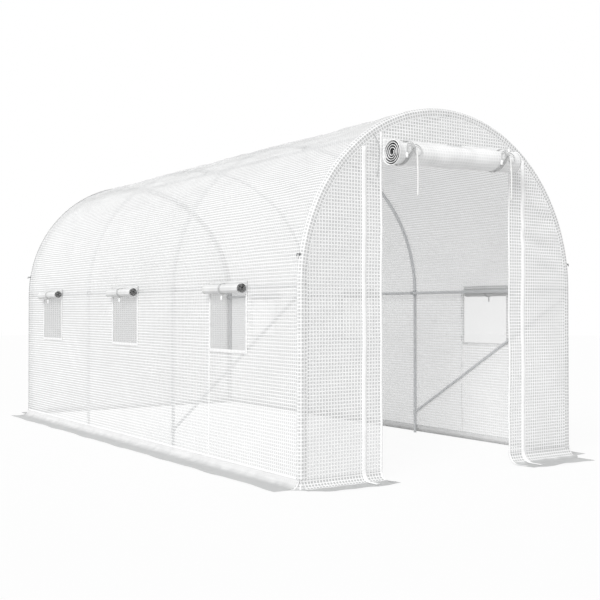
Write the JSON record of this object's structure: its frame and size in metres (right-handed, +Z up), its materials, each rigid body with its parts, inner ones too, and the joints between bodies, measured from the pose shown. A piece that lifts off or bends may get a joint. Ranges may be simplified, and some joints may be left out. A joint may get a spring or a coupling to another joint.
{
  "type": "polytunnel greenhouse",
  "caption": "Walk-in polytunnel greenhouse: rounded steel hoops under a woven see-through cover, with a rolled-up door, screened side windows and a ground skirt.",
  "frame": {"origin": "middle of the footprint, on the ground", "axes": "+Z up, +Y along the ridge from the door end to the closed end, +X to the right seen from the door end"},
  "size_m": [2.3, 4.6, 2.025],
  "materials": {
    "galvanised_tube": "galvanised, satin",
    "clamp_steel": "zinc plated, satin",
    "woven_cover": "woven polyethylene, half see-through, with a square grid of yarns",
    "binding_tape": "sewn white tape",
    "tie_webbing": "white webbing",
    "insect_screen": "fine grey mesh",
    "hook_steel": "dark, satin"
  },
  "bodies": {
    "root": {"left_legs": "galvanised_tube", "right_legs": "galvanised_tube", "front_left_bow": "galvanised_tube", "front_right_bow": "galvanised_tube", "second_left_bow": "galvanised_tube", "second_right_bow": "galvanised_tube", "third_left_bow": "galvanised_tube", "third_right_bow": "galvanised_tube", "back_left_bow": "galvanised_tube", "back_right_bow": "galvanised_tube", "left_rail": "galvanised_tube", "right_rail": "galvanised_tube", "ridge_pole": "galvanised_tube", "left_brace": "galvanised_tube", "right_brace": "galvanised_tube", "left_rail_clamps": "clamp_steel", "right_rail_clamps": "clamp_steel", "ridge_clamps": "clamp_steel", "left_wall": "woven_cover", "right_wall": "woven_cover", "left_haunch": "woven_cover", "right_haunch": "woven_cover", "left_roof": "woven_cover", "right_roof": "woven_cover", "front_left_panel": "woven_cover", "front_right_panel": "woven_cover", "front_top_panel": "woven_cover", "back_panel": "woven_cover", "left_skirt": "woven_cover", "right_skirt": "woven_cover", "back_skirt": "woven_cover", "front_left_skirt": "woven_cover", "front_right_skirt": "woven_cover", "door_flap": "woven_cover", "left_window_flaps": "woven_cover", "right_window_flaps": "woven_cover", "door_tapes": "binding_tape", "left_window_bindings": "binding_tape", "right_window_bindings": "binding_tape", "door_ties": "tie_webbing", "left_window_ties": "tie_webbing", "right_window_ties": "tie_webbing", "left_window_screens": "insect_screen", "right_window_screens": "insect_screen", "guy_hooks": "hook_steel"}
  },
  "joints": []
}
